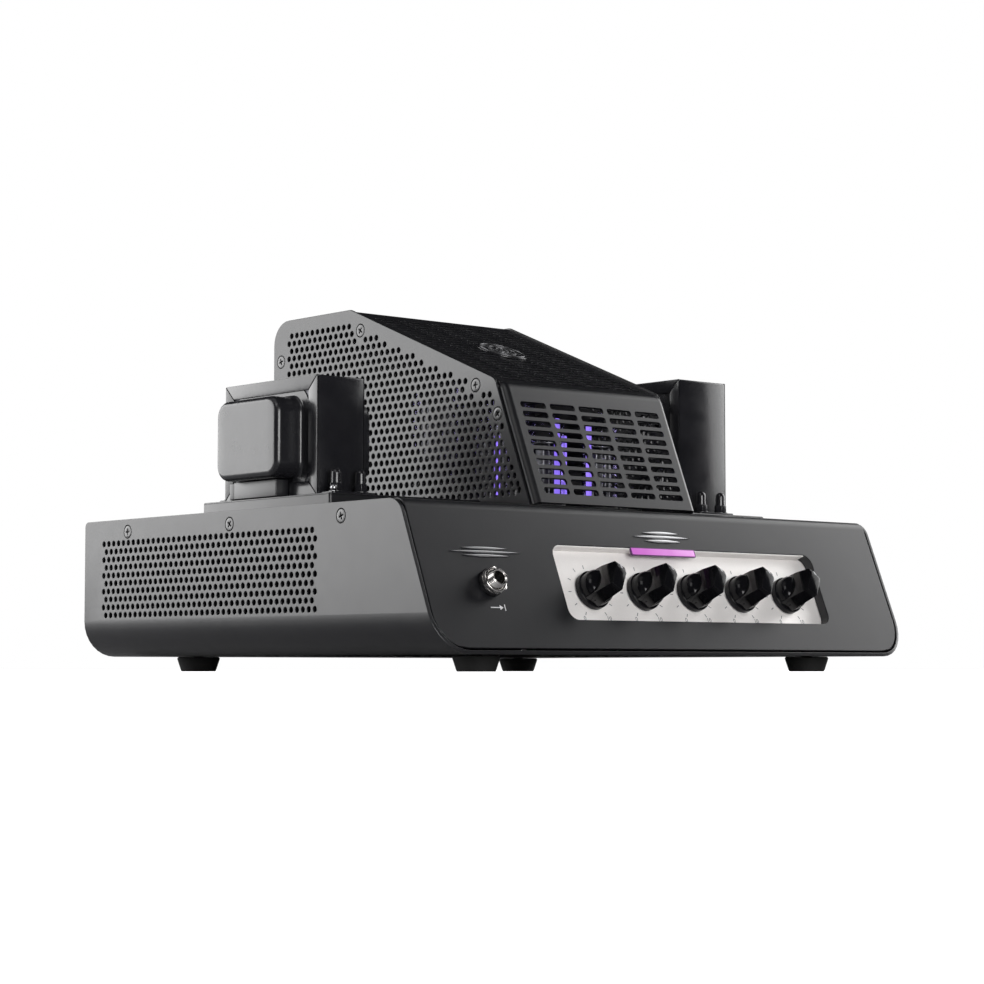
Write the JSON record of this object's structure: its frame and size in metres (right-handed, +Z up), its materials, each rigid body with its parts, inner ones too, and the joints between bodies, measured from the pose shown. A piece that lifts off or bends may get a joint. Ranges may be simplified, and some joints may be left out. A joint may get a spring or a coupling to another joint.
{
  "type": "valve bass guitar amplifier head",
  "caption": "Low black steel valve amplifier head with a leaning front panel, bar knobs, a perforated valve cage and deck-mounted transformers.",
  "frame": {"origin": "on the floor under the middle of the amplifier's overall box", "axes": "+X to the right seen from the front, +Y to the back (the control panel faces -Y), +Z up"},
  "size_m": [0.34, 0.3306, 0.2053],
  "materials": {
    "black_coat": "satin black powder coat",
    "gloss_black": "gloss black enamel",
    "lamination": "varnished steel laminations",
    "rubber": "matt black rubber",
    "dark_screw": "black oxide, lightly polished",
    "valve_glass": "clear glass with a getter flash",
    "board_green": "solder-masked glass fibre board",
    "black_plastic": "moulded black plastic",
    "knob_black": "moulded gloss black phenolic",
    "silver_plate": "brushed and clear anodised",
    "light_bar": "lit violet light pipe",
    "chrome": "bright nickel plate"
  },
  "bodies": {
    "amplifier": {"case_wrap": "black_coat", "chassis": "black_coat", "transformer_tray": "black_coat", "cage_cover": "black_coat", "cage_side_left": "black_coat", "cage_side_right": "black_coat", "left_lead_box": "black_coat", "output_transformer_cover": "gloss_black", "mains_transformer_cover": "gloss_black", "output_transformer_left_bell": "gloss_black", "output_transformer_right_bell": "gloss_black", "mains_transformer_left_bell": "gloss_black", "mains_transformer_right_bell": "gloss_black", "output_transformer_core": "lamination", "mains_transformer_core": "lamination", "foot_front_left": "rubber", "foot_front_right": "rubber", "foot_rear_left": "rubber", "foot_rear_right": "rubber", "side_screw_left_1": "dark_screw", "side_screw_left_2": "dark_screw", "side_screw_left_3": "dark_screw", "side_screw_right_1": "dark_screw", "side_screw_right_2": "dark_screw", "side_screw_right_3": "dark_screw", "cage_screw_left_1": "dark_screw", "cage_screw_left_2": "dark_screw", "cage_screw_left_3": "dark_screw", "cage_screw_left_4": "dark_screw", "cage_screw_right_1": "dark_screw", "cage_screw_right_2": "dark_screw", "cage_screw_right_3": "dark_screw", "cage_screw_right_4": "dark_screw", "preamp_valve_1": "valve_glass", "preamp_valve_2": "valve_glass", "preamp_valve_3": "valve_glass", "power_valve_1": "valve_glass", "power_valve_2": "valve_glass", "control_board": "board_green", "valve_socket_board": "board_green", "main_board": "board_green", "input_jack": "black_plastic", "input_jack_collar": "black_plastic", "mains_inlet": "black_plastic", "power_switch": "black_plastic", "standby_switch": "black_plastic", "fuse_holder": "black_plastic", "speaker_jack": "black_plastic", "faceplate": "silver_plate", "light_bar": "light_bar", "input_jack_nut": "chrome", "di_connector": "dark_screw"},
    "gain_knob": {"gain_knob": "knob_black"},
    "bass_knob": {"bass_knob": "knob_black"},
    "midrange_knob": {"midrange_knob": "knob_black"},
    "treble_knob": {"treble_knob": "knob_black"},
    "volume_knob": {"volume_knob": "knob_black"},
    "power_rocker": {"power_rocker": "black_plastic"},
    "standby_rocker": {"standby_rocker": "black_plastic"},
    "ground_lift_button": {"ground_lift_button": "black_plastic"}
  },
  "joints": [
    {"name": "gain_turn", "type": "hinge", "parent": "amplifier", "child": "gain_knob", "pos_m": [-0.0543, -0.14424, 0.04261], "axis": [0, -0.9272, 0.3746], "range_deg": [-116, 184]},
    {"name": "bass_turn", "type": "hinge", "parent": "amplifier", "child": "bass_knob", "pos_m": [-0.0182, -0.14424, 0.04261], "axis": [0, -0.9272, 0.3746], "range_deg": [-116, 184]},
    {"name": "midrange_turn", "type": "hinge", "parent": "amplifier", "child": "midrange_knob", "pos_m": [0.0179, -0.14424, 0.04261], "axis": [0, -0.9272, 0.3746], "range_deg": [-116, 184]},
    {"name": "treble_turn", "type": "hinge", "parent": "amplifier", "child": "treble_knob", "pos_m": [0.054, -0.14424, 0.04261], "axis": [0, -0.9272, 0.3746], "range_deg": [-116, 184]},
    {"name": "volume_turn", "type": "hinge", "parent": "amplifier", "child": "volume_knob", "pos_m": [0.0901, -0.14424, 0.04261], "axis": [0, -0.9272, 0.3746], "range_deg": [-116, 184]},
    {"name": "power_rock", "type": "hinge", "parent": "amplifier", "child": "power_rocker", "pos_m": [0.088, 0.154, 0.046], "axis": [1, 0, 0], "range_deg": [-16, 0]},
    {"name": "standby_rock", "type": "hinge", "parent": "amplifier", "child": "standby_rocker", "pos_m": [0.064, 0.154, 0.046], "axis": [1, 0, 0], "range_deg": [-16, 0]},
    {"name": "ground_lift_press", "type": "slide", "parent": "amplifier", "child": "ground_lift_button", "axis": [0, -1, 0], "range_m": [0, 0.0016]}
  ]
}
